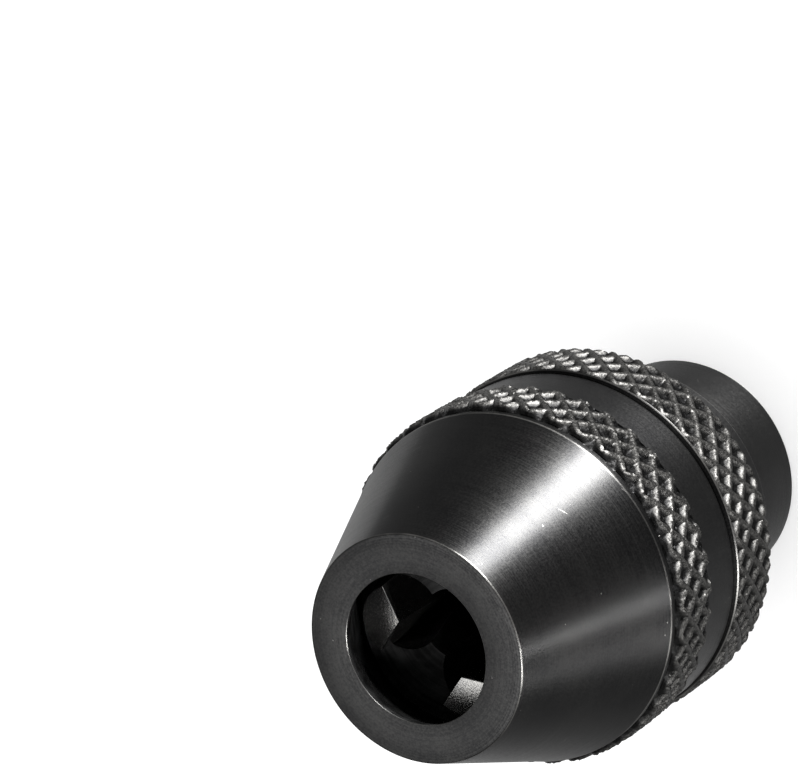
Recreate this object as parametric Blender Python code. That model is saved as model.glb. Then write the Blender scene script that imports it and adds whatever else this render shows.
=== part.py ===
"""Small keyless three-jaw drill chuck, built as an assembly of separate pieces.

Frame: the chuck axis is +Z, the nose points up, and the origin is the centre of the rear face.
Lengths below are millimetres and are scaled to metres when a mesh is made.
Inside: three inclined threaded jaws run in the body, a split nut pressed into the front sleeve
drives them, and a small ball thrust bearing carries the nut's load into the body.
"""
import math

import bmesh
import bpy

MM = 0.001

# Overall
LENGTH = 30.6
SEGMENTS = 64
GAP = 0.05

# Jaw rods: inclined towards the nose, 120 degrees apart
JAW_COUNT = 3
JAW_ANGLE = math.radians(15.0)
JAW_AZIMUTH = math.radians(90.0)
ROD_RADIUS = 2.0
ROD_HOLE_RADIUS = 2.05
ARC_SIDES = 14
WEDGE_SIDES = 3
JAW_FRONT_Z = 28.0
JAW_REAR_Z = 14.1
JAW_FRONT_AXIS_RADIUS = 2.59
RIDGE_RADIUS = 2.48
WEDGE_SLOPE = math.tan(math.radians(30.0))
LEAD_IN = 0.06
HOLE_BOTTOM_Z = 13.5

# Conical jaw thread
PITCH = 1.25
THREAD_DEPTH = 0.45
CREST_TRIM = 0.2
THREAD_CLEARANCE = 0.1
CREST_SHARE = 0.24
FLANK_SHARE = 0.26
THREAD_END_Z = 23.37
NUT_MEAN_RADIUS = 6.3

# Body
COLLAR_RADIUS = 6.4
WRENCH_FLANGE_RADIUS = 7.9
WRENCH_FLANGE_Z = (6.3, 8.35)
WRENCH_FLAT_HALF = 6.2
WRENCH_FLAT_Z = (6.12, 8.35)
FLANGE_RADIUS = 8.6
FLANGE_TOP_Z = 9.7
RING_SEAT_Z = (10.0, 13.85)
BEARING_COLLAR_RADIUS = 8.95
BEARING_SEAT_Z = 15.85
BEARING_CORE_RADIUS = 7.75
BODY_FRONT_Z = 26.6
BODY_FRONT_RADIUS = 5.7
THROUGH_BORE_RADIUS = 1.9
SPINDLE_BORE_RADIUS = 3.6
SPINDLE_MOUTH_RADIUS = 4.15
SPINDLE_BORE_DEPTH = 9.5

# Rear grip ring
KNURL_RADIUS = 10.0
RING_Z = (10.0, 13.8)

# Thrust bearing
RACE_RADII = (7.85, 9.0)
RACE_THICKNESS = 0.4
BALL_RADIUS = 0.4
BALL_CLEARANCE = 0.02
BALL_COUNT = 12
BALL_PITCH_RADIUS = 8.425
CAGE_HALF_HEIGHT = 0.22
CAGE_HOLE_RADIUS = 0.44

REAR_RACE_Z = BEARING_SEAT_Z + GAP
BALL_Z = REAR_RACE_Z + RACE_THICKNESS + BALL_CLEARANCE + BALL_RADIUS
FRONT_RACE_Z = BALL_Z + BALL_RADIUS + BALL_CLEARANCE
NUT_REAR_Z = FRONT_RACE_Z + RACE_THICKNESS + GAP
BODY_GROOVE_Z = (NUT_REAR_Z - 0.07, 23.27)

# Split nut
NUT_FRONT_Z = 23.2
NUT_RADIUS = 8.2
NUT_SPLIT_HALF_ANGLE = math.radians(0.5)
NUT_SEGMENTS = 30

# Front sleeve
SLEEVE_REAR_Z = 13.9
BAND_RADIUS = 9.7
KNURL_Z = (17.0, 20.4)
LAND_RADIUS = 9.6
CONE_START_Z = 21.0
CONE_START_RADIUS = 9.6
NOSE_RADIUS = 6.16
NOSE_BORE_RADIUS = 4.06
NOSE_BORE_EDGE = 0.05
NOSE_LIP_Z = 29.9
SLEEVE_INNER_FRONT_RADIUS = 4.25
SLEEVE_INNER_STEP_RADIUS = 7.75

# name: (base colour, roughness, metallic)
FINISHES = {
    "body_steel": ((0.030, 0.030, 0.032), 0.42, 1.0),
    "ring_steel": ((0.026, 0.026, 0.028), 0.45, 1.0),
    "sleeve_steel": ((0.028, 0.028, 0.030), 0.38, 1.0),
    "nut_steel": ((0.22, 0.22, 0.23), 0.40, 1.0),
    "jaw_steel": ((0.30, 0.29, 0.28), 0.45, 1.0),
    "race_steel": ((0.48, 0.48, 0.50), 0.25, 1.0),
    "cage_brass": ((0.55, 0.38, 0.15), 0.40, 1.0),
    "ball_steel": ((0.62, 0.62, 0.64), 0.15, 1.0),
}


def clear_scene():
    for item in list(bpy.data.objects):
        bpy.data.objects.remove(item, do_unlink=True)


def make_finish(name, key):
    colour, roughness, metallic = FINISHES[key]
    finish = bpy.data.materials.new(name)
    finish.use_nodes = True
    shader = finish.node_tree.nodes["Principled BSDF"]
    shader.inputs["Base Color"].default_value = (*colour, 1.0)
    shader.inputs["Roughness"].default_value = roughness
    shader.inputs["Metallic"].default_value = metallic
    finish.diffuse_color = (*colour, 1.0)
    return finish


def add_mesh(name, vertices, faces, finish_key=None, origin=(0.0, 0.0, 0.0)):
    mesh = bpy.data.meshes.new(name)
    points = [tuple((p[i] - origin[i]) * MM for i in range(3)) for p in vertices]
    mesh.from_pydata(points, [], faces)
    work = bmesh.new()
    work.from_mesh(mesh)
    bmesh.ops.recalc_face_normals(work, faces=work.faces)
    work.to_mesh(mesh)
    work.free()
    mesh.shade_smooth()
    mesh.set_sharp_from_angle(angle=math.radians(25.0))
    item = bpy.data.objects.new(name, mesh)
    item.location = tuple(c * MM for c in origin)
    bpy.context.scene.collection.objects.link(item)
    if finish_key is None:
        item.hide_render = True
        item.display_type = "WIRE"
    else:
        mesh.materials.append(make_finish(name + "_finish", finish_key))
    return item


def ring_of(profile, segments, start=0.0, sweep=2.0 * math.pi):
    """Vertices and faces of a closed (radius, z) outline swept about the chuck axis."""
    whole = abs(sweep - 2.0 * math.pi) < 1e-9
    columns = segments if whole else segments + 1
    count = len(profile)
    vertices = []
    for column in range(columns):
        angle = start + sweep * column / segments
        for radius, z in profile:
            vertices.append((radius * math.cos(angle), radius * math.sin(angle), z))
    faces = []
    for column in range(segments):
        here = column * count
        there = ((column + 1) % columns) * count
        for k in range(count):
            after = (k + 1) % count
            faces.append((here + k, there + k, there + after, here + after))
    if not whole:
        faces.append(tuple(range(count)))
        faces.append(tuple(segments * count + k for k in range(count)))
    return vertices, faces


def cylinder_between(start, end, radius, sides):
    """Vertices and faces of a closed round rod between two points."""
    axis = [end[i] - start[i] for i in range(3)]
    length = math.sqrt(sum(c * c for c in axis))
    axis = [c / length for c in axis]
    helper = (0.0, 0.0, 1.0) if abs(axis[2]) < 0.9 else (1.0, 0.0, 0.0)
    u = cross(axis, helper)
    size = math.sqrt(sum(c * c for c in u))
    u = [c / size for c in u]
    v = cross(axis, u)
    vertices = []
    for centre in (start, end):
        for side in range(sides):
            t = 2.0 * math.pi * side / sides
            c, s = radius * math.cos(t), radius * math.sin(t)
            vertices.append(tuple(centre[i] + u[i] * c + v[i] * s for i in range(3)))
    faces = [(k, (k + 1) % sides, sides + (k + 1) % sides, sides + k) for k in range(sides)]
    faces.append(tuple(range(sides)))
    faces.append(tuple(range(sides, 2 * sides)))
    return vertices, faces


def cross(a, b):
    return [
        a[1] * b[2] - a[2] * b[1],
        a[2] * b[0] - a[0] * b[2],
        a[0] * b[1] - a[1] * b[0],
    ]


def merged(pieces):
    vertices = []
    faces = []
    for piece_vertices, piece_faces in pieces:
        base = len(vertices)
        vertices.extend(piece_vertices)
        faces.extend(tuple(base + k for k in face) for face in piece_faces)
    return vertices, faces


def cut(item, cutter):
    change = item.modifiers.new(cutter.name, "BOOLEAN")
    change.operation = "DIFFERENCE"
    change.solver = "EXACT"
    change.object = cutter


def rod_axis_radius(z):
    return JAW_FRONT_AXIS_RADIUS + (JAW_FRONT_Z - z) * math.tan(JAW_ANGLE)


def thread_crest_radius(z):
    return rod_axis_radius(z) + ROD_RADIUS / math.cos(JAW_ANGLE) - CREST_TRIM


def turned(x, y, z, angle):
    c, s = math.cos(angle), math.sin(angle)
    return (x * c - y * s, x * s + y * c, z)


def build_body():
    groove_rear, groove_front = BODY_GROOVE_Z
    core_drop = THREAD_DEPTH
    edge = 0.15
    outline = [
        (SPINDLE_MOUTH_RADIUS, 0.0),
        (COLLAR_RADIUS - 0.25, 0.0),
        (COLLAR_RADIUS, 0.25),
        (COLLAR_RADIUS, WRENCH_FLANGE_Z[0]),
        (WRENCH_FLANGE_RADIUS - edge, WRENCH_FLANGE_Z[0]),
        (WRENCH_FLANGE_RADIUS, WRENCH_FLANGE_Z[0] + edge),
        (WRENCH_FLANGE_RADIUS, WRENCH_FLANGE_Z[1]),
        (FLANGE_RADIUS - edge, WRENCH_FLANGE_Z[1]),
        (FLANGE_RADIUS, WRENCH_FLANGE_Z[1] + edge),
        (FLANGE_RADIUS, FLANGE_TOP_Z - edge),
        (FLANGE_RADIUS - edge, FLANGE_TOP_Z),
        (FLANGE_RADIUS - edge, RING_SEAT_Z[0]),
        (FLANGE_RADIUS, RING_SEAT_Z[0] + edge),
        (FLANGE_RADIUS, RING_SEAT_Z[1]),
        (BEARING_COLLAR_RADIUS, RING_SEAT_Z[1]),
        (BEARING_COLLAR_RADIUS, BEARING_SEAT_Z),
        (BEARING_CORE_RADIUS, BEARING_SEAT_Z),
        (BEARING_CORE_RADIUS, groove_rear),
        (thread_crest_radius(groove_rear) - core_drop, groove_rear),
        (thread_crest_radius(groove_front) - core_drop, groove_front),
        (7.3, groove_front),
        (BODY_FRONT_RADIUS, BODY_FRONT_Z - 0.2),
        (BODY_FRONT_RADIUS - 0.2, BODY_FRONT_Z),
        (THROUGH_BORE_RADIUS, BODY_FRONT_Z),
        (THROUGH_BORE_RADIUS, SPINDLE_BORE_DEPTH + 0.9),
        (SPINDLE_BORE_RADIUS, SPINDLE_BORE_DEPTH),
        (SPINDLE_BORE_RADIUS, SPINDLE_MOUTH_RADIUS - SPINDLE_BORE_RADIUS),
    ]
    body = add_mesh("chuck_body", *ring_of(outline, SEGMENTS), "body_steel")

    high_z = JAW_FRONT_Z + 2.0
    rods = []
    for jaw in range(JAW_COUNT):
        angle = JAW_AZIMUTH + 2.0 * math.pi * jaw / JAW_COUNT
        low = turned(rod_axis_radius(HOLE_BOTTOM_Z), 0.0, HOLE_BOTTOM_Z, angle)
        high = turned(rod_axis_radius(high_z), 0.0, high_z, angle)
        rods.append(cylinder_between(low, high, ROD_HOLE_RADIUS, 24))
    holes = add_mesh("jaw_hole_cutter", *merged(rods))
    cut(body, holes)

    boxes = []
    reach = WRENCH_FLANGE_RADIUS + 1.0
    for side in (-1.0, 1.0):
        boxes.append(box_of(side * WRENCH_FLAT_HALF, side * reach, -reach, reach, *WRENCH_FLAT_Z))
    flats = add_mesh("wrench_flat_cutter", *merged(boxes))
    cut(body, flats)
    return body


def box_of(x0, x1, y0, y1, z0, z1):
    vertices = [(x, y, z) for z in (z0, z1) for y in (y0, y1) for x in (x0, x1)]
    faces = [(0, 1, 3, 2), (4, 6, 7, 5), (0, 4, 5, 1), (2, 3, 7, 6), (0, 2, 6, 4), (1, 5, 7, 3)]
    return vertices, faces


def build_rear_ring():
    rear, front = RING_Z
    bore = FLANGE_RADIUS + GAP
    outline = [
        (bore + 0.1, rear),
        (KNURL_RADIUS - 0.3, rear),
        (KNURL_RADIUS, rear + 0.2),
        (KNURL_RADIUS, front - 0.15),
        (KNURL_RADIUS - 0.3, front),
        (bore, front),
        (bore, rear + 0.1),
    ]
    return add_mesh("rear_grip_ring", *ring_of(outline, SEGMENTS), "ring_steel")


def build_sleeve():
    seat = NUT_RADIUS + GAP
    edge = 0.12
    outline = [
        (RACE_RADII[1] + GAP, SLEEVE_REAR_Z),
        (BAND_RADIUS - 0.3, SLEEVE_REAR_Z),
        (BAND_RADIUS, SLEEVE_REAR_Z + 0.2),
        (BAND_RADIUS, KNURL_Z[0]),
        (KNURL_RADIUS, KNURL_Z[0] + 0.2),
        (KNURL_RADIUS, KNURL_Z[1] - 0.2),
        (LAND_RADIUS + 0.1, KNURL_Z[1]),
        (LAND_RADIUS, KNURL_Z[1] + 0.05),
        (CONE_START_RADIUS, CONE_START_Z),
        (NOSE_RADIUS + 0.04, LENGTH - edge),
        (NOSE_RADIUS - edge, LENGTH),
        (NOSE_BORE_RADIUS + NOSE_BORE_EDGE, LENGTH),
        (NOSE_BORE_RADIUS, LENGTH - NOSE_BORE_EDGE),
        (SLEEVE_INNER_FRONT_RADIUS, NOSE_LIP_Z),
        (SLEEVE_INNER_STEP_RADIUS, NUT_FRONT_Z + GAP),
        (seat, NUT_FRONT_Z + GAP),
        (seat, NUT_REAR_Z),
        (RACE_RADII[1] + GAP, NUT_REAR_Z),
    ]
    return add_mesh("front_sleeve", *ring_of(outline, SEGMENTS), "sleeve_steel")


def thread_cutter():
    """Closed male conical screw, larger than the jaw thread by the running clearance."""
    rows_per_turn = 4
    shares = (0.0, CREST_SHARE, CREST_SHARE + FLANK_SHARE, 2.0 * CREST_SHARE + FLANK_SHARE)
    heights = (0.0, 0.0, -THREAD_DEPTH, -THREAD_DEPTH)
    columns = 2 * NUT_SEGMENTS
    start_z = 15.0 - PITCH
    turns = 8
    rows = rows_per_turn * (turns + 1) + 1
    vertices = []
    for column in range(columns):
        turn = column / columns
        angle = 2.0 * math.pi * turn
        for row in range(rows):
            z = start_z + PITCH * (row // rows_per_turn + shares[row % rows_per_turn] + turn)
            radius = thread_crest_radius(z) + THREAD_CLEARANCE + heights[row % rows_per_turn]
            vertices.append((radius * math.cos(angle), radius * math.sin(angle), z))
    faces = []
    for column in range(columns):
        last = column == columns - 1
        shift = rows_per_turn if last else 0
        there = 0 if last else (column + 1) * rows
        here = column * rows
        for row in range(rows - 1 - shift):
            far = there + row + shift
            faces.append((here + row, far, far + 1, here + row + 1))
    low = len(vertices)
    vertices.append((0.0, 0.0, start_z - 1.0))
    vertices.append((0.0, 0.0, start_z + PITCH * (turns + 3)))
    bottom = [column * rows for column in range(columns)]
    bottom.extend(range(rows_per_turn, 0, -1))
    top = [column * rows + rows - 1 for column in range(columns)]
    tail = (columns - 1) * rows + rows - 1
    top.extend(tail - k for k in range(1, rows_per_turn + 1))
    for centre, loop in ((low, bottom), (low + 1, top)):
        for k, corner in enumerate(loop):
            faces.append((centre, corner, loop[(k + 1) % len(loop)]))
    return add_mesh("nut_thread_cutter", vertices, faces)


def build_nut():
    cutter = thread_cutter()
    outline = [
        (4.2, NUT_REAR_Z),
        (NUT_RADIUS - 0.1, NUT_REAR_Z),
        (NUT_RADIUS, NUT_REAR_Z + 0.1),
        (NUT_RADIUS, NUT_FRONT_Z),
        (4.2, NUT_FRONT_Z),
    ]
    halves = []
    for index, name in enumerate(("nut_half_a", "nut_half_b")):
        start = math.pi * index + NUT_SPLIT_HALF_ANGLE
        sweep = math.pi - 2.0 * NUT_SPLIT_HALF_ANGLE
        half = add_mesh(name, *ring_of(outline, NUT_SEGMENTS, start, sweep), "nut_steel")
        cut(half, cutter)
        halves.append(half)
    return halves


def thread_height(z, azimuth):
    """Depth of the jaw thread below its crest at height z for a jaw at this azimuth."""
    turn = (azimuth / (2.0 * math.pi)) % 1.0
    share = ((z - 15.0) / PITCH - turn) % 1.0
    if share < CREST_SHARE:
        return 0.0
    if share < CREST_SHARE + FLANK_SHARE:
        return -THREAD_DEPTH * (share - CREST_SHARE) / FLANK_SHARE
    if share < 2.0 * CREST_SHARE + FLANK_SHARE:
        return -THREAD_DEPTH
    rest = 1.0 - 2.0 * CREST_SHARE - FLANK_SHARE
    return -THREAD_DEPTH * (1.0 - share) / rest


def jaw_stations(azimuth):
    """Heights of the jaw's cross sections: thread corners, then the smooth front."""
    turn = (azimuth / (2.0 * math.pi)) % 1.0
    corners = (0.0, CREST_SHARE, CREST_SHARE + FLANK_SHARE, 2.0 * CREST_SHARE + FLANK_SHARE)
    stations = {JAW_REAR_Z, THREAD_END_Z}
    for lap in range(-2, 9):
        for corner in corners:
            z = 15.0 + PITCH * (lap + turn + corner)
            if JAW_REAR_Z + 0.05 < z < THREAD_END_Z - 0.05:
                stations.add(z)
    front = (THREAD_END_Z + 0.15, 23.65, 24.1, 24.6, 25.2, 26.0, 27.0)
    stations.update(front)
    stations.update((JAW_FRONT_Z - LEAD_IN, JAW_FRONT_Z))
    return sorted(stations)


def jaw_section(centre, ridge):
    """One cross section of a jaw: the rod's arc up to the wedge, then the two wedge faces.

    Every section has the same number of corners, so that neighbours join into one skin.
    """
    half_depth = ROD_RADIUS / math.cos(JAW_ANGLE)
    reach = math.hypot(half_depth, WEDGE_SLOPE * ROD_RADIUS)
    lean = math.atan2(WEDGE_SLOPE * ROD_RADIUS, half_depth)
    meet = math.acos(max(-1.0, (ridge - centre) / reach)) - lean
    corners = []
    for k in range(ARC_SIDES + 1):
        t = meet * (2.0 * k / ARC_SIDES - 1.0)
        corners.append((centre + half_depth * math.cos(t), ROD_RADIUS * math.sin(t)))
    for k in range(1, 2 * WEDGE_SIDES):
        y = ROD_RADIUS * math.sin(meet) * (1.0 - k / WEDGE_SIDES)
        rod_back = centre - half_depth * math.sqrt(1.0 - (y / ROD_RADIUS) ** 2)
        corners.append((max(rod_back, ridge + WEDGE_SLOPE * abs(y)), y))
    return corners


def build_jaw(index):
    azimuth = JAW_AZIMUTH + 2.0 * math.pi * index / JAW_COUNT
    stations = jaw_stations(azimuth)
    sides = ARC_SIDES + 2 * WEDGE_SIDES
    vertices = []
    for z in stations:
        centre = rod_axis_radius(z)
        lead = max(0.0, z - (JAW_FRONT_Z - LEAD_IN))
        for x, y in jaw_section(centre, RIDGE_RADIUS + lead):
            if z <= THREAD_END_Z:
                crest = thread_crest_radius(z) + thread_height(z, azimuth)
                x = min(x, crest - y * y / (2.0 * NUT_MEAN_RADIUS))
            vertices.append(turned(x, y, z, azimuth))
    faces = []
    for row in range(len(stations) - 1):
        for side in range(sides):
            after = (side + 1) % sides
            low = row * sides
            high = low + sides
            faces.append((low + side, low + after, high + after, high + side))
    faces.append(tuple(range(sides)))
    faces.append(tuple((len(stations) - 1) * sides + k for k in range(sides)))
    origin = turned(rod_axis_radius(JAW_FRONT_Z), 0.0, JAW_FRONT_Z, azimuth)
    return add_mesh("jaw_%d" % (index + 1), vertices, faces, "jaw_steel", origin)


def build_race(name, rear_z):
    inner, outer = RACE_RADII
    edge = 0.06
    outline = [
        (inner, rear_z),
        (outer - edge, rear_z),
        (outer, rear_z + edge),
        (outer, rear_z + RACE_THICKNESS - edge),
        (outer - edge, rear_z + RACE_THICKNESS),
        (inner, rear_z + RACE_THICKNESS),
    ]
    return add_mesh(name, *ring_of(outline, SEGMENTS), "race_steel")


def ball_centre(index):
    angle = 2.0 * math.pi * index / BALL_COUNT
    return turned(BALL_PITCH_RADIUS, 0.0, BALL_Z, angle)


def build_cage():
    outline = [
        (RACE_RADII[0], BALL_Z - CAGE_HALF_HEIGHT),
        (RACE_RADII[1], BALL_Z - CAGE_HALF_HEIGHT),
        (RACE_RADII[1], BALL_Z + CAGE_HALF_HEIGHT),
        (RACE_RADII[0], BALL_Z + CAGE_HALF_HEIGHT),
    ]
    cage = add_mesh("ball_cage", *ring_of(outline, 48), "cage_brass")
    pockets = []
    for index in range(BALL_COUNT):
        x, y, z = ball_centre(index)
        pockets.append(cylinder_between((x, y, z - 1.0), (x, y, z + 1.0), CAGE_HOLE_RADIUS, 12))
    cut(cage, add_mesh("cage_pocket_cutter", *merged(pockets)))
    return cage


def build_ball(index):
    centre = ball_centre(index)
    rings, sides = 6, 10
    vertices = [(centre[0], centre[1], centre[2] + BALL_RADIUS)]
    for ring in range(1, rings):
        polar = math.pi * ring / rings
        for side in range(sides):
            t = 2.0 * math.pi * side / sides
            vertices.append((
                centre[0] + BALL_RADIUS * math.sin(polar) * math.cos(t),
                centre[1] + BALL_RADIUS * math.sin(polar) * math.sin(t),
                centre[2] + BALL_RADIUS * math.cos(polar),
            ))
    vertices.append((centre[0], centre[1], centre[2] - BALL_RADIUS))
    last = len(vertices) - 1
    faces = []
    for side in range(sides):
        after = (side + 1) % sides
        faces.append((0, 1 + side, 1 + after))
        base = 1 + (rings - 2) * sides
        faces.append((last, base + after, base + side))
        for ring in range(rings - 2):
            a = 1 + ring * sides
            b = a + sides
            faces.append((a + side, b + side, b + after, a + after))
    item = add_mesh("bearing_ball_%02d" % (index + 1), vertices, faces, "ball_steel", centre)
    item.data.set_sharp_from_angle(angle=math.radians(180.0))
    return item


clear_scene()
build_body()
build_rear_ring()
build_sleeve()
build_nut()
for jaw_index in range(JAW_COUNT):
    build_jaw(jaw_index)
build_race("rear_race_washer", REAR_RACE_Z)
build_race("front_race_washer", FRONT_RACE_Z)
build_cage()
for ball_index in range(BALL_COUNT):
    build_ball(ball_index)
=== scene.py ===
import math

import bmesh
import bpy
from mathutils import Matrix, Vector


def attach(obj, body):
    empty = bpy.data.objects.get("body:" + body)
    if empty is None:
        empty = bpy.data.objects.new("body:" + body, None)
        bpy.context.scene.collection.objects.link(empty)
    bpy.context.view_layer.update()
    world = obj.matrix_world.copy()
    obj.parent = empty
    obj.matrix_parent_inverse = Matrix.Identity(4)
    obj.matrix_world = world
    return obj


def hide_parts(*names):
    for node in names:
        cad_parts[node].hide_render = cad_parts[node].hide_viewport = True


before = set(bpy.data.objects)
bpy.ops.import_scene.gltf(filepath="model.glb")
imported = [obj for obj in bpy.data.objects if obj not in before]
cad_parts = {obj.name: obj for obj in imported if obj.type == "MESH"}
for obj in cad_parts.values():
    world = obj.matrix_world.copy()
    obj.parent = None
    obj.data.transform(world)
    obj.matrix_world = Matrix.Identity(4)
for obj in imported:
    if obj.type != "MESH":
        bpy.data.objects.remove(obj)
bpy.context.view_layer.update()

# Sizes are in millimetres: heights along the chuck's axis (+Z), radii out from it
MM = 0.001
LENGTH = 30.6
GRIP_RADIUS = 10.0
SLEEVE_RADIUS = 9.70
CONE_RADIUS = 9.60
CONE_Z = 21.0
NOSE_RADIUS = 6.16
NOSE_BORE_RADIUS = 4.06
COLLAR_RADIUS = 6.40
FLANGE_RADIUS = 7.90
FLANGE_Z = (6.30, 8.35)
FLAT_HALF_WIDTH = 6.2
FLAT_START_Z = 6.12
BODY_RADIUS = 8.60
SPINDLE_RADIUS = 3.60
SPINDLE_DEPTH = 9.5
SPINDLE_PITCH = 0.75

# Knurled bands: rear and front end of each, and the diamond pattern they share
REAR_BAND_Z = (10.02, 13.72)
FRONT_BAND_Z = (17.0, 20.4)
PIT_COUNT = 40
PIT_DEPTH = 0.30
COLUMNS = PIT_COUNT * 18

# Jaws: inclined rods with a wedge towards the axis and a conical thread outside
JAW_ANGLE = math.radians(15.0)
JAW_AZIMUTHS = [math.radians(90.0 + 120.0 * k) for k in range(3)]
JAW_FRONT_Z = 28.0
JAW_REAR_Z = 14.1
JAW_FRONT_AXIS_RADIUS = 2.59
ROD_RADIUS = 2.0
ROD_HOLE_RADIUS = 2.05
HOLE_Z = (13.5, 30.0)
RIDGE_RADIUS = 2.48
WEDGE_SLOPE = math.tan(math.radians(30.0))
THREAD_END_Z = 23.37
PITCH = 1.25
THREAD_DEPTH = 0.49
ARC_SIDES = 44
WEDGE_SIDES = 8

# Turned edges (radius, z) where the black finish is worn; the lighter edge is also a painted
# highlight along it
SLEEVE_EDGES = ((6.16, 30.56), (4.08, 30.58), (9.60, 20.95), (9.66, 14.02))
RING_EDGES = ((9.82, 13.76),)
BODY_EDGES = ((6.3, 0.1), (7.87, 6.36), (8.56, 8.41), (8.56, 9.64))
EDGE_WEAR_AND_HIGHLIGHT = 0.12
EDGE_REACH = 0.06
EDGE_TINT = 0.65
# Bare steel colour for specks, scratches and worn edges; on the edges and knurl crests it also
# paints highlights
WORN_STEEL_AND_HIGHLIGHT = (0.42, 0.41, 0.39)


# ---------------------------------------------------------------- shader nodes

def node_material(name):
    material = bpy.data.materials.new(name)
    material.use_nodes = True
    tree = material.node_tree
    return material, tree, tree.nodes["Principled BSDF"]


def add_node(tree, kind, inputs=None, **settings):
    node = tree.nodes.new(kind)
    for key, value in settings.items():
        setattr(node, key, value)
    for key, value in (inputs or {}).items():
        node.inputs[key].default_value = value
    return node


def object_coords(tree):
    return add_node(tree, "ShaderNodeTexCoord").outputs["Object"]


def ramp(tree, source, low, high, dark=0.0, light=1.0):
    """Smooth step of source from dark at low to light at high."""
    limits = {"From Min": low, "From Max": high, "To Min": dark, "To Max": light}
    node = add_node(tree, "ShaderNodeMapRange", limits, interpolation_type="SMOOTHSTEP")
    tree.links.new(source, node.inputs["Value"])
    return node.outputs["Result"]


def maths(tree, operation, a, b=None):
    node = add_node(tree, "ShaderNodeMath", operation=operation)
    for k, value in enumerate((a, b)):
        if value is None:
            continue
        if isinstance(value, (int, float)):
            node.inputs[k].default_value = value
        else:
            tree.links.new(value, node.inputs[k])
    return node.outputs["Value"]


def weighted_sum(tree, *terms):
    total = None
    for source, weight in terms:
        part = maths(tree, "MULTIPLY", source, weight)
        total = part if total is None else maths(tree, "ADD", total, part)
    return total


def mix_colours(tree, factor, first, second):
    """Colour from first to second by factor; each is an (r, g, b) value or a socket."""
    node = add_node(tree, "ShaderNodeMix", data_type="RGBA")
    tree.links.new(factor, node.inputs[0])
    for socket, colour in ((node.inputs[6], first), (node.inputs[7], second)):
        if isinstance(colour, tuple):
            socket.default_value = (*colour, 1.0)
        else:
            tree.links.new(colour, socket)
    return node.outputs[2]


def stretched(tree, coords, scale):
    node = add_node(tree, "ShaderNodeVectorMath", operation="MULTIPLY")
    node.inputs[1].default_value = scale
    tree.links.new(coords, node.inputs[0])
    return node.outputs[0]


def stretched_noise(tree, coords, scale, detail=3.0, roughness=0.6):
    """Noise on coordinates multiplied by scale (x, y, z), in features per metre."""
    settings = {"Detail": detail, "Roughness": roughness, "Scale": 1.0}
    noise = add_node(tree, "ShaderNodeTexNoise", settings)
    tree.links.new(stretched(tree, coords, scale), noise.inputs["Vector"])
    return noise.outputs["Fac"]


def even_noise(tree, coords, scale, detail=3.0, roughness=0.6):
    return stretched_noise(tree, coords, (scale, scale, scale), detail, roughness)


def add_bump(tree, shader, height, strength, distance):
    bump = add_node(tree, "ShaderNodeBump", {"Strength": strength, "Distance": distance})
    tree.links.new(height, bump.inputs["Height"])
    tree.links.new(bump.outputs["Normal"], shader.inputs["Normal"])


def split_xyz(tree, coords):
    split = add_node(tree, "ShaderNodeSeparateXYZ")
    tree.links.new(coords, split.inputs[0])
    return split.outputs


def join_xy(tree, x, y):
    join = add_node(tree, "ShaderNodeCombineXYZ")
    tree.links.new(x, join.inputs["X"])
    tree.links.new(y, join.inputs["Y"])
    return join.outputs[0]


def turned_coords(tree, coords):
    """(radius, height, 0) of a point about the chuck axis, so patterns run round the part."""
    x, y, z = split_xyz(tree, coords)
    x2 = maths(tree, "MULTIPLY", x, x)
    y2 = maths(tree, "MULTIPLY", y, y)
    return join_xy(tree, maths(tree, "SQRT", maths(tree, "ADD", x2, y2)), z)


def circle_mask(tree, rings, circles):
    """1 on the turned edges listed as (radius, z), fading out over the edge reach."""
    total = None
    for radius, z in circles:
        gap = add_node(tree, "ShaderNodeVectorMath", operation="DISTANCE")
        tree.links.new(rings, gap.inputs[0])
        gap.inputs[1].default_value = (radius * MM, z * MM, 0.0)
        core, reach = EDGE_REACH * 0.35 * MM, EDGE_REACH * MM
        near = ramp(tree, gap.outputs["Value"], core, reach, 1.0, 0.0)
        total = near if total is None else maths(tree, "MAXIMUM", total, near)
    return total


def scratches(tree, coords):
    """1 on a few short thin scratches lying in the surface, 0 elsewhere."""
    mean_radius, length_scale, rarity, half_length = 8.5, 900.0, 0.9982, 0.26
    x, y, z = split_xyz(tree, coords)
    around = maths(tree, "MULTIPLY", maths(tree, "ARCTAN2", y, x), mean_radius * MM)
    unrolled = join_xy(tree, around, z)
    total = None
    for tilt, across, shift in ((0.75, 9000.0, 0.0), (-0.35, 11000.0, 0.37)):
        turn = add_node(tree, "ShaderNodeMapping", vector_type="POINT")
        turn.inputs["Rotation"].default_value = (0.0, 0.0, tilt)
        turn.inputs["Location"].default_value = (shift, shift, 0.0)
        tree.links.new(unrolled, turn.inputs["Vector"])
        field = add_node(tree, "ShaderNodeTexVoronoi", feature="F1", voronoi_dimensions="2D")
        field.inputs["Scale"].default_value = 1.0
        cells = stretched(tree, turn.outputs[0], (length_scale, across, 1.0))
        tree.links.new(cells, field.inputs["Vector"])
        chance = add_node(tree, "ShaderNodeSeparateColor")
        tree.links.new(field.outputs["Color"], chance.inputs[0])
        chosen = maths(tree, "GREATER_THAN", chance.outputs[0], rarity)
        near = maths(tree, "LESS_THAN", field.outputs["Distance"], half_length)
        mark = maths(tree, "MULTIPLY", chosen, near)
        total = mark if total is None else maths(tree, "MAXIMUM", total, mark)
    return total


def specks(tree, coords):
    """1 on sparse tiny dots, 0 elsewhere."""
    field = add_node(tree, "ShaderNodeTexVoronoi", {"Scale": 1700.0}, feature="F1")
    tree.links.new(coords, field.inputs["Vector"])
    sparse = ramp(tree, even_noise(tree, coords, 1100.0, 0.0), 0.50, 0.78)
    size = maths(tree, "MULTIPLY", sparse, 0.075)
    return maths(tree, "LESS_THAN", field.outputs["Distance"], size)


# ---------------------------------------------------------------- materials

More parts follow.
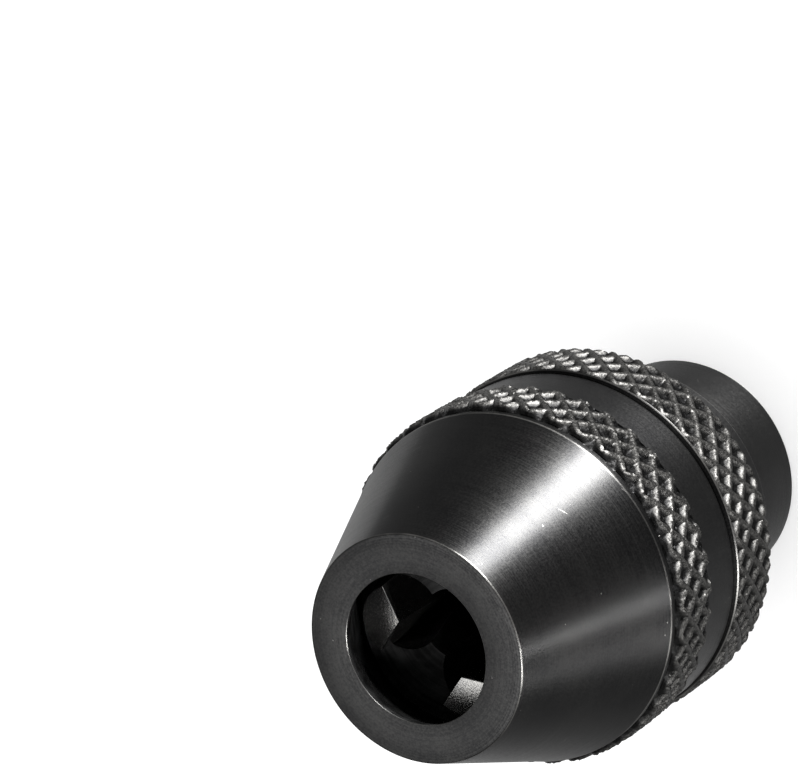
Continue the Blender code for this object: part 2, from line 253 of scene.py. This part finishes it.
def black_oxide(name, base=0.0075, rough=0.35, lines=0.35, edges=(), crest=None,
                streak=0.7, marks=0.05, pitted=0.4):
    """Turned steel under a black oxide finish: fine rings, worn edges that are also painted
    highlights, specks and scratches.

    base is the mean brightness, lines the strength of the relief, pitted the share of fine
    grain in it, streak how far a highlight is drawn out along the axis, marks the brightness
    of scratches, and crest (start radius, end radius, brightness) the lighter knurl crests,
    partly wear and partly a painted highlight that leaves the pits darker as painted shade.
    """
    material, tree, shader = node_material(name)
    links = tree.links
    coords = object_coords(tree)
    rings = turned_coords(tree, coords)
    fine = stretched_noise(tree, rings, (16000.0, 16000.0, 1.0), 2.0, 0.7)
    broad = stretched_noise(tree, rings, (1300.0, 1300.0, 1.0), 2.0, 0.5)
    cloud = even_noise(tree, coords, 260.0, 4.0)
    grain = even_noise(tree, coords, 9000.0, 2.0)

    mottled = ramp(tree, weighted_sum(tree, (cloud, 0.4), (fine, 0.2), (grain, 0.4)), 0.36, 0.64)
    dark = (base * 0.72, base * 0.72, base * 0.74)
    light = (base * 1.30, base * 1.29, base * 1.27)
    tone = mix_colours(tree, mottled, dark, light)

    bright = maths(tree, "MULTIPLY", specks(tree, coords), 0.13)
    scratched = maths(tree, "MULTIPLY", scratches(tree, coords), marks)
    bright = maths(tree, "MAXIMUM", bright, scratched)
    # Edges mixed towards bare steel: partly real wear, partly a painted highlight along each
    # listed edge
    if edges:
        patchy = ramp(tree, cloud, 0.38, 0.62, 0.25, 1.0)
        rim = maths(tree, "MULTIPLY", circle_mask(tree, rings, edges), patchy)
        bright = maths(tree, "MAXIMUM", bright, maths(tree, "MULTIPLY", rim, EDGE_WEAR_AND_HIGHLIGHT))
    # Knurl crests mixed towards bare steel: partly real wear, partly a painted highlight on the
    # ridge tops that leaves the pits darker as painted shade
    if crest:
        radius = split_xyz(tree, rings)["X"]
        top = ramp(tree, radius, crest[0] * MM, crest[1] * MM)
        sparkle = ramp(tree, grain, 0.35, 0.65, 0.3, 1.0)
        crest_wear_and_pit_shade = maths(tree, "MULTIPLY", top, maths(tree, "MULTIPLY", sparkle, crest[2]))
        bright = maths(tree, "MAXIMUM", bright, crest_wear_and_pit_shade)
    links.new(mix_colours(tree, bright, tone, WORN_STEEL_AND_HIGHLIGHT), shader.inputs["Base Color"])

    texture = weighted_sum(tree, (fine, 0.6), (grain, 0.4))
    roughness = ramp(tree, texture, 0.3, 0.7, rough * 0.85, rough * 1.2)
    links.new(roughness, shader.inputs["Roughness"])
    shader.inputs["Metallic"].default_value = 1.0
    shader.inputs["Specular Tint"].default_value = (EDGE_TINT, EDGE_TINT, EDGE_TINT, 1.0)
    shader.inputs["Anisotropic"].default_value = streak
    shader.inputs["Anisotropic Rotation"].default_value = 0.25
    tangent = add_node(tree, "ShaderNodeTangent", direction_type="RADIAL", axis="Z")
    links.new(tangent.outputs[0], shader.inputs["Tangent"])

    height = weighted_sum(tree, (fine, 0.5), (broad, 0.15), (grain, pitted))
    add_bump(tree, shader, height, lines, 0.01 * MM)
    return material


def dark_inside(name):
    """Oily black oxide inside the bores, where little light reaches."""
    material, tree, shader = node_material(name)
    coords = object_coords(tree)
    rings = turned_coords(tree, coords)
    turned = stretched_noise(tree, rings, (5000.0, 5000.0, 1.0))
    mixed = maths(tree, "ADD", turned, even_noise(tree, coords, 900.0))
    tone = mix_colours(tree, ramp(tree, mixed, 0.8, 1.2), (0.009,) * 3, (0.018,) * 3)
    tree.links.new(tone, shader.inputs["Base Color"])
    tree.links.new(ramp(tree, mixed, 0.7, 1.3, 0.42, 0.6), shader.inputs["Roughness"])
    shader.inputs["Metallic"].default_value = 1.0
    shader.inputs["Specular Tint"].default_value = (0.3, 0.3, 0.3, 1.0)
    return material


def bare_steel(name, base, rough=0.42, grain_scale=4200.0, strength=0.6, soot=0.5):
    """Ground bare metal with fine grain and oily dark patches."""
    material, tree, shader = node_material(name)
    coords = object_coords(tree)
    grain = even_noise(tree, coords, grain_scale, 3.0, 0.7)
    cloud = even_noise(tree, coords, 600.0)
    mottled = ramp(tree, weighted_sum(tree, (cloud, 0.4), (grain, 0.6)), 0.36, 0.62)
    dark = (base * (1.0 - soot),) * 3
    light = (base * 1.25, base * 1.23, base * 1.18)
    tree.links.new(mix_colours(tree, mottled, dark, light), shader.inputs["Base Color"])
    roughness = ramp(tree, grain, 0.3, 0.7, rough * 0.85, rough * 1.2)
    tree.links.new(roughness, shader.inputs["Roughness"])
    shader.inputs["Metallic"].default_value = 1.0
    add_bump(tree, shader, grain, strength, 0.03 * MM)
    return material


def paper(name):
    """Plain pale paper for the floor."""
    material, tree, shader = node_material(name)
    mottled = even_noise(tree, object_coords(tree), 30.0)
    tone = mix_colours(tree, mottled, (0.87,) * 3, (0.90,) * 3)
    tree.links.new(tone, shader.inputs["Base Color"])
    shader.inputs["Roughness"].default_value = 0.9
    shader.inputs["Specular IOR Level"].default_value = 0.1
    return material


oxide_sleeve = black_oxide("sleeve_black_oxide", edges=SLEEVE_EDGES)
oxide_face = black_oxide("nose_face_oxide", base=0.024, rough=0.46, lines=0.25, streak=0.0,
                         marks=0.0)
oxide_ring = black_oxide("ring_black_oxide", edges=RING_EDGES)
# The knurl's lighter crests are partly wear, partly a painted highlight with painted shade in the
# pits
oxide_knurl = black_oxide("knurl_black_oxide", base=0.0029, rough=0.46, lines=0.6,
                          crest=(9.74, 9.97, 0.055), streak=0.0, pitted=2.6)
oxide_body = black_oxide("body_black_oxide", base=0.0095, edges=BODY_EDGES)
inside = dark_inside("oily_inside")
jaw_steel = bare_steel("jaw_bare_steel", base=0.24, rough=0.18, grain_scale=9000.0,
                       strength=0.55, soot=0.35)


# ---------------------------------------------------------------- mesh building

def mesh_object(name, vertices, faces, material, sharp=30.0):
    mesh = bpy.data.meshes.new(name)
    mesh.from_pydata([(x * MM, y * MM, z * MM) for x, y, z in vertices], [], faces)
    mesh.validate()
    mesh.shade_smooth()
    mesh.set_sharp_from_angle(angle=math.radians(sharp))
    item = bpy.data.objects.new(name, mesh)
    bpy.context.scene.collection.objects.link(item)
    mesh.materials.append(material)
    return item


def lathe(outline, columns, shape):
    """Closed (radius, z) outline swept about +Z; shape(radius, z, angle, k) moves a corner."""
    count = len(outline)
    vertices = []
    for column in range(columns):
        angle = 2.0 * math.pi * column / columns
        c, s = math.cos(angle), math.sin(angle)
        for k, (radius, z) in enumerate(outline):
            radius, z = shape(radius, z, angle, k)
            vertices.append((radius * c, radius * s, z))
    faces = []
    for column in range(columns):
        here = column * count
        there = ((column + 1) % columns) * count
        for k in range(count):
            after = (k + 1) % count
            faces.append((here + k, there + k, there + after, here + after))
    return vertices, faces


def smooth(value, low, high):
    t = min(1.0, max(0.0, (value - low) / (high - low)))
    return t * t * (3.0 - 2.0 * t)


def pit_height(angle, z, phase):
    """0 on a ridge of the diamond knurl, -1 on the floor of a pit."""
    around = angle * PIT_COUNT / (2.0 * math.pi)
    along = (z + phase) * PIT_COUNT / (2.0 * math.pi * GRIP_RADIUS)
    u = (around + along) % 1.0
    v = (around - along) % 1.0
    distance = min(u, 1.0 - u, v, 1.0 - v)
    return -smooth(distance, 0.04, 0.33) * 0.85 - smooth(distance, 0.36, 0.44) * 0.15


def roughened(column, row):
    """Repeatable uneven height between -1 and 1."""
    wave = math.sin(column * 12.9898 + row * 78.233) * 43758.5453
    return 2.0 * (wave - math.floor(wave)) - 1.0


def split_band(vertices, faces, count, band_count):
    """Cuts the knurl's four-sided faces along the diagonal that follows the ridges."""
    split = []
    for face in faces:
        local = [corner % count for corner in face]
        if max(local) >= band_count or max(local) - min(local) != 1:
            split.append(face)
            continue
        r = [math.hypot(vertices[corner][0], vertices[corner][1]) for corner in face]
        a, b, c, d = face
        if abs(r[0] - r[2]) <= abs(r[1] - r[3]):
            split.extend(((a, b, c), (a, c, d)))
        else:
            split.extend(((b, c, d), (b, d, a)))
    return split


def knurled_ring(name, lower, upper, band_z, phase, worn, material):
    """Ring whose outer band carries the diamond knurl, with plain outline parts at both ends.

    lower runs from the bore out to the band's rear edge, upper from the band's front edge
    inwards; worn is the height of the knurl's random unevenness.
    """
    rear_z, front_z = band_z
    step = 2.0 * math.pi * GRIP_RADIUS / COLUMNS
    rows = round((front_z - rear_z) / step)
    band = [(GRIP_RADIUS, rear_z + (front_z - rear_z) * k / rows) for k in range(rows + 1)]
    outline = band + upper + lower
    end_width, end_slope = 0.16, 0.9

    def shape(r, z, angle, k):
        if k >= len(band):
            return r, z
        from_end = min(k, len(band) - 1 - k) * step
        droop = max(0.0, end_width - from_end) * end_slope
        uneven = worn * roughened(round(angle * COLUMNS / (2.0 * math.pi)), k)
        return r + PIT_DEPTH * pit_height(angle, z, phase) - droop - worn + uneven, z

    vertices, faces = lathe(outline, COLUMNS, shape)
    faces = split_band(vertices, faces, len(outline), len(band))
    return mesh_object(name, vertices, faces, material, 50.0)


# ---------------------------------------------------------------- turned pieces

def build_sleeve():
    shoulder = [(9.55, 20.43), (9.55, 20.62), (9.62, 20.66), (9.62, 20.92), (9.58, 20.98)]
    nose = [
        (NOSE_RADIUS + 0.025, LENGTH - 0.08), (NOSE_RADIUS + 0.005, LENGTH - 0.03),
        (NOSE_RADIUS - 0.05, LENGTH), (NOSE_BORE_RADIUS + 0.04, LENGTH),
        (NOSE_BORE_RADIUS + 0.01, LENGTH - 0.015), (NOSE_BORE_RADIUS, LENGTH - 0.05),
    ]
    hollow = [(4.25, 29.9), (7.75, 23.25), (8.25, 23.25), (8.25, 17.59), (9.05, 17.59)]
    rear = [
        (9.05, 13.90), (9.50, 13.90), (9.62, 14.00), (SLEEVE_RADIUS, 14.10),
        (SLEEVE_RADIUS, 14.20), (SLEEVE_RADIUS, 16.90), (SLEEVE_RADIUS, 16.97),
    ]
    upper = shoulder + nose + hollow
    return knurled_ring("sleeve_turned", rear, upper, FRONT_BAND_Z, 0.0, 0.032, oxide_sleeve)


def build_ring():
    front = [(9.86, 13.735), (9.80, 13.795), (9.76, 13.80), (8.65, 13.80)]
    rear = [(8.65, 10.1), (8.75, 10.0), (9.72, 10.0)]
    return knurled_ring("rear_ring_knurled", rear, front, REAR_BAND_Z, 0.4, 0.018, oxide_ring)


def spindle_thread(angle, z):
    """Depth of the spindle thread behind its crest, fading out at the bottom of the bore."""
    share = (z / SPINDLE_PITCH - angle / (2.0 * math.pi)) % 1.0
    depth = 0.46 * max(0.0, min(1.0, 2.2 * min(share, 1.0 - share) - 0.1))
    return depth * min(1.0, SPINDLE_DEPTH - 0.2 - z)


def build_body():
    flange_low, flange_high = FLANGE_Z
    collar = [
        (4.15, 0.0), (COLLAR_RADIUS - 0.27, 0.0), (COLLAR_RADIUS - 0.18, 0.03),
        (COLLAR_RADIUS - 0.03, 0.18), (COLLAR_RADIUS, 0.27), (COLLAR_RADIUS, FLAT_START_Z - 0.001),
    ]
    flange = [
        (COLLAR_RADIUS, FLAT_START_Z + 0.001), (COLLAR_RADIUS, flange_low),
        (FLANGE_RADIUS - 0.12, flange_low),
        (FLANGE_RADIUS - 0.03, 6.36), (FLANGE_RADIUS, 6.45), (FLANGE_RADIUS, 8.34),
        (FLANGE_RADIUS, flange_high),
    ]
    shoulder = [
        (BODY_RADIUS - 0.15, flange_high), (BODY_RADIUS - 0.04, 8.41), (BODY_RADIUS, 8.52),
        (BODY_RADIUS, 9.53), (BODY_RADIUS - 0.04, 9.64), (BODY_RADIUS - 0.15, 9.70),
        (BODY_RADIUS - 0.15, 10.0), (BODY_RADIUS, 10.15), (BODY_RADIUS, 13.85),
    ]
    bearing_seat = [(8.95, 13.85), (8.95, 15.85), (7.75, 15.85), (7.75, 17.52)]
    nut_groove = [(6.82, 17.52), (5.28, 23.27), (7.30, 23.27)]
    front = [(5.70, 26.40), (5.50, 26.60), (1.90, 26.60), (1.90, 10.40)]
    bore_bottom = [(SPINDLE_RADIUS, SPINDLE_DEPTH)]
    rows_per_turn, rows = 6, 71
    bore = [
        (SPINDLE_RADIUS, SPINDLE_DEPTH - 0.2 - SPINDLE_PITCH * k / rows_per_turn)
        for k in range(rows)
    ]
    before_bore = collar + flange + shoulder + bearing_seat + nut_groove + front + bore_bottom
    outline = before_bore + bore + [(SPINDLE_RADIUS, 0.45)]
    flats = range(len(collar), len(collar) + len(flange))
    threads = range(len(before_bore), len(before_bore) + rows)

    def shape(radius, z, angle, k):
        if k in flats:
            reach = max(abs(math.cos(angle)), 1e-6)
            return min(radius, FLAT_HALF_WIDTH / reach), z
        if k in threads:
            return radius + spindle_thread(angle, z), z
        return radius, z

    vertices, faces = lathe(outline, 288, shape)
    body = mesh_object("body_turned", vertices, faces, oxide_body)
    cut_jaw_holes(body)
    return body


def cut_jaw_holes(body):
    rods = [jaw_hole(azimuth) for azimuth in JAW_AZIMUTHS]
    for rod in rods:
        change = body.modifiers.new("hole", "BOOLEAN")
        change.solver = "EXACT"
        change.object = rod
    bpy.context.view_layer.update()
    evaluated = body.evaluated_get(bpy.context.evaluated_depsgraph_get())
    solid = bpy.data.meshes.new_from_object(evaluated)
    body.modifiers.clear()
    body.data = solid
    solid.shade_smooth()
    solid.set_sharp_from_angle(angle=math.radians(28.0))
    for rod in rods:
        bpy.data.objects.remove(rod, do_unlink=True)


def jaw_hole(azimuth):
    """Round cutter along one jaw's inclined hole."""
    ends = []
    for z in HOLE_Z:
        reach = rod_axis_radius(z)
        ends.append(Vector((reach * math.cos(azimuth), reach * math.sin(azimuth), z)) * MM)
    middle = (ends[0] + ends[1]) / 2.0
    direction = ends[1] - ends[0]
    turn = direction.to_track_quat("Z", "Y").to_matrix().to_4x4()
    radius = ROD_HOLE_RADIUS * MM
    work = bmesh.new()
    bmesh.ops.create_cone(
        work, cap_ends=True, segments=72, radius1=radius, radius2=radius, depth=direction.length)
    bmesh.ops.transform(work, matrix=Matrix.Translation(middle) @ turn, verts=work.verts)
    mesh = bpy.data.meshes.new("jaw_hole")
    work.to_mesh(mesh)
    work.free()
    rod = bpy.data.objects.new("jaw_hole", mesh)
    bpy.context.scene.collection.objects.link(rod)
    return rod


# ---------------------------------------------------------------- jaws

def rod_axis_radius(z):
    return JAW_FRONT_AXIS_RADIUS + (JAW_FRONT_Z - z) * math.tan(JAW_ANGLE)


def jaw_thread(z, azimuth):
    """Height of the jaw's thread against its crest: 0 on the crest, negative below it."""
    crest_share, flank_share = 0.24, 0.26
    share = ((z - 15.0) / PITCH - azimuth / (2.0 * math.pi)) % 1.0
    if share < crest_share:
        return 0.0
    if share < crest_share + flank_share:
        return -THREAD_DEPTH * (share - crest_share) / flank_share
    if share < 2.0 * crest_share + flank_share:
        return -THREAD_DEPTH
    return -THREAD_DEPTH * (1.0 - share) / flank_share


def jaw_section(centre, inset):
    """One cross section of a jaw: the rod's arc up to the wedge, then the two wedge faces."""
    depth = ROD_RADIUS / math.cos(JAW_ANGLE) - inset
    width = ROD_RADIUS - inset
    ridge = RIDGE_RADIUS + inset
    reach = math.hypot(depth, WEDGE_SLOPE * width)
    lean = math.atan2(WEDGE_SLOPE * width, depth)
    meet = math.acos(max(-1.0, (ridge - centre) / reach)) - lean
    corners = []
    for k in range(ARC_SIDES + 1):
        t = meet * (2.0 * k / ARC_SIDES - 1.0)
        corners.append((centre + depth * math.cos(t), width * math.sin(t)))
    for k in range(1, 2 * WEDGE_SIDES):
        y = width * math.sin(meet) * (1.0 - k / WEDGE_SIDES)
        rod_back = centre - depth * math.sqrt(1.0 - (y / width) ** 2)
        corners.append((max(rod_back, ridge + WEDGE_SLOPE * abs(y)), y))
    return corners


def jaw_levels():
    """Heights of the jaw's cross sections: close together on the thread and at the chamfer."""
    rows_per_turn, thread_rows, front_rows = 16, 119, 12
    front_start = THREAD_END_Z + 0.15
    front_length = JAW_FRONT_Z - 0.06 - front_start
    levels = [JAW_REAR_Z + PITCH * k / rows_per_turn for k in range(thread_rows)]
    levels += [THREAD_END_Z, front_start]
    levels += [front_start + front_length * k / front_rows for k in range(1, front_rows + 1)]
    return levels + [JAW_FRONT_Z - 0.02, JAW_FRONT_Z]


def build_jaw(index):
    azimuth = JAW_AZIMUTHS[index]
    chamfer, crest_cut, nut_mean_radius = 0.05, 0.2, 6.3
    sides = ARC_SIDES + 2 * WEDGE_SIDES
    levels = jaw_levels()
    c, s = math.cos(azimuth), math.sin(azimuth)
    vertices = []
    for z in levels:
        centre = rod_axis_radius(z)
        inset = max(0.0, z - (JAW_FRONT_Z - chamfer)) ** 1.5 / chamfer ** 0.5
        crest = centre + ROD_RADIUS / math.cos(JAW_ANGLE) - crest_cut + jaw_thread(z, azimuth)
        for x, y in jaw_section(centre, inset):
            if z <= THREAD_END_Z:
                x = min(x, crest - y * y / (2.0 * nut_mean_radius))
            vertices.append((x * c - y * s, x * s + y * c, z))
    faces = []
    for row in range(len(levels) - 1):
        low, high = row * sides, (row + 1) * sides
        for side in range(sides):
            after = (side + 1) % sides
            faces.append((low + side, low + after, high + after, high + side))
    faces.append(tuple(reversed(range(sides))))
    faces.append(tuple((len(levels) - 1) * sides + k for k in range(sides)))
    return mesh_object("jaw_%d_ground" % (index + 1), vertices, faces, jaw_steel, 28.0)


# ---------------------------------------------------------------- the chuck

def sleeve_skin(z):
    """Outside radius of the sleeve at height z."""
    if z < CONE_Z:
        return SLEEVE_RADIUS
    return CONE_RADIUS - (z - CONE_Z) * (CONE_RADIUS - NOSE_RADIUS) / (LENGTH - CONE_Z)


def use_on(item, material, test):
    """Gives material to the faces whose centre (radius, z) passes the test."""
    item.data.materials.append(material)
    index = len(item.data.materials) - 1
    for polygon in item.data.polygons:
        centre = polygon.center / MM
        if test(math.hypot(centre.x, centre.y), centre.z):
            polygon.material_index = index


def in_front_band(radius, z):
    return FRONT_BAND_Z[0] - 0.02 < z < FRONT_BAND_Z[1] + 0.02 and radius > 9.5


def in_rear_band(radius, z):
    return REAR_BAND_Z[0] + 0.01 < z < REAR_BAND_Z[1] and radius > 9.5


def on_nose_face(radius, z):
    return z > LENGTH - 0.015 and radius > NOSE_BORE_RADIUS + 0.04


def inside_sleeve(radius, z):
    in_bore = radius < NOSE_BORE_RADIUS + 0.01
    return in_bore or (17.0 < z < LENGTH - 0.05 and radius < sleeve_skin(z) - 0.5)


def inside_body(radius, z):
    return z > 17.0 or radius < 3.0


sleeve = build_sleeve()
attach(sleeve, "sleeve")
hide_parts("front_sleeve")
ring = build_ring()
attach(ring, "body")
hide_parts("rear_grip_ring")
body = build_body()
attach(body, "body")
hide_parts("chuck_body")

jaws = []
for index in range(3):
    jaw = build_jaw(index)
    jaws.append(jaw)
    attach(jaw, "jaw_%d" % (index + 1))
    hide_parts("jaw_%d" % (index + 1))

use_on(sleeve, oxide_knurl, in_front_band)
use_on(ring, oxide_knurl, in_rear_band)
use_on(sleeve, oxide_face, on_nose_face)
use_on(sleeve, inside, inside_sleeve)
use_on(body, inside, inside_body)

# The pieces sealed inside keep their CAD shape and get their own metals
inner_metals = {
    "nut_half": bare_steel("nut_steel", base=0.20, rough=0.4),
    "race_washer": bare_steel("race_steel", base=0.45, rough=0.25, strength=0.2, soot=0.2),
    "bearing_ball": bare_steel("ball_steel", base=0.6, rough=0.12, strength=0.05, soot=0.1),
    "ball_cage": bare_steel("cage_brass", base=0.4, rough=0.35, strength=0.2, soot=0.2),
}
for node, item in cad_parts.items():
    for kind, metal in inner_metals.items():
        if kind in node:
            item.data.materials.clear()
            item.data.materials.append(metal)


# ---------------------------------------------------------------- stage, lights, camera

CAMERA_AT = (47.709, 137.760, 225.284)
CAMERA_TARGET = (-11.238, 4.660, 20.0)
CAMERA_ROLL = -119.379
NOSE_LIGHT_Z = 26.0


def build_floor():
    half = 2.5
    corners = [(-half, -half, 0), (half, -half, 0), (half, half, 0), (-half, half, 0)]
    mesh = bpy.data.meshes.new("floor")
    mesh.from_pydata(corners, [], [(0, 1, 2, 3)])
    floor = bpy.data.objects.new("floor", mesh)
    bpy.context.scene.collection.objects.link(floor)
    mesh.materials.append(paper("floor_paper"))
    return floor


def linked_collection(name, items):
    """Collection of the items that a light is limited to."""
    collection = bpy.data.collections.new(name)
    bpy.context.scene.collection.children.link(collection)
    for item in items:
        if item.name not in collection.objects:
            collection.objects.link(item)
    return collection


def area_light(name, azimuth, elevation, distance, size, radiance, receivers, target_z):
    """Rectangular light (width, height) facing the axis at target_z; angles in degrees."""
    width, height = size
    a, e = math.radians(azimuth), math.radians(elevation)
    direction = Vector((math.cos(a) * math.cos(e), math.sin(a) * math.cos(e), math.sin(e)))
    data = bpy.data.lights.new(name, "AREA")
    data.shape = "RECTANGLE"
    data.size = width * MM
    data.size_y = height * MM
    data.energy = radiance * math.pi * width * height * MM * MM
    light = bpy.data.objects.new(name, data)
    light.location = (Vector((0.0, 0.0, target_z)) + direction * distance) * MM
    light.rotation_euler = direction.to_track_quat("Z", "Y").to_euler()
    light.visible_camera = False
    light.light_linking.receiver_collection = receivers
    bpy.context.scene.collection.objects.link(light)
    return light


def build_camera():
    """Camera at CAMERA_AT, aimed at CAMERA_TARGET and rolled about its view axis."""
    data = bpy.data.cameras.new("camera")
    data.lens = 216.5
    data.sensor_width = 36.0
    data.clip_start = 0.005
    data.clip_end = 20.0
    camera = bpy.data.objects.new("camera", data)
    bpy.context.scene.collection.objects.link(camera)
    place = Vector(CAMERA_AT)
    aim = (place - Vector(CAMERA_TARGET)).to_track_quat("Z", "Y").to_matrix().to_4x4()
    roll = Matrix.Rotation(math.radians(CAMERA_ROLL), 4, "Z")
    camera.matrix_world = Matrix.Translation(place * MM) @ aim @ roll
    bpy.context.scene.camera = camera


floor = build_floor()

world = bpy.data.worlds.new("studio")
world.use_nodes = True
background = world.node_tree.nodes["Background"]
background.inputs["Color"].default_value = (1.0, 1.0, 1.0, 1.0)
background.inputs["Strength"].default_value = 1.1
bpy.context.scene.world = world

pieces = [sleeve, ring, body] + jaws + list(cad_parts.values())
chuck = linked_collection("lit_by_accents", pieces)
floor_only = linked_collection("lit_by_floor_light", [floor])

# One strong and two weaker lights draw the bands along the cone
area_light("band_key", 99.5, 4.0, 130.0, (38.0, 56.0), 450.0, chuck, NOSE_LIGHT_Z)
area_light("band_dull", 25.0, 0.0, 130.0, (8.0, 40.0), 150.0, chuck, NOSE_LIGHT_Z)
area_light("band_faint", 4.5, 0.0, 130.0, (30.0, 40.0), 27.0, chuck, NOSE_LIGHT_Z)

# These catch the nose rim, the cone's far side and the jaws' front faces
area_light("rim_light", 6.5, 45.0, 150.0, (24.0, 24.0), 480.0, chuck, NOSE_LIGHT_Z)
area_light("left_card", 199.5, -22.0, 62.0, (26.0, 9.0), 10.0, chuck, 27.0)
area_light("front_light", 252.5, 54.0, 300.0, (130.0, 110.0), 2.6, chuck, NOSE_LIGHT_Z)

# The floor has a light of its own, which the chuck doesn't shade
floor_light = area_light("floor_light", 91.5, 89.0, 900.0, (1200.0, 1200.0), 1.25, floor_only, 0.0)
floor_light.light_linking.blocker_collection = floor_only

build_camera()
bpy.context.scene.view_settings.view_transform = "Standard"
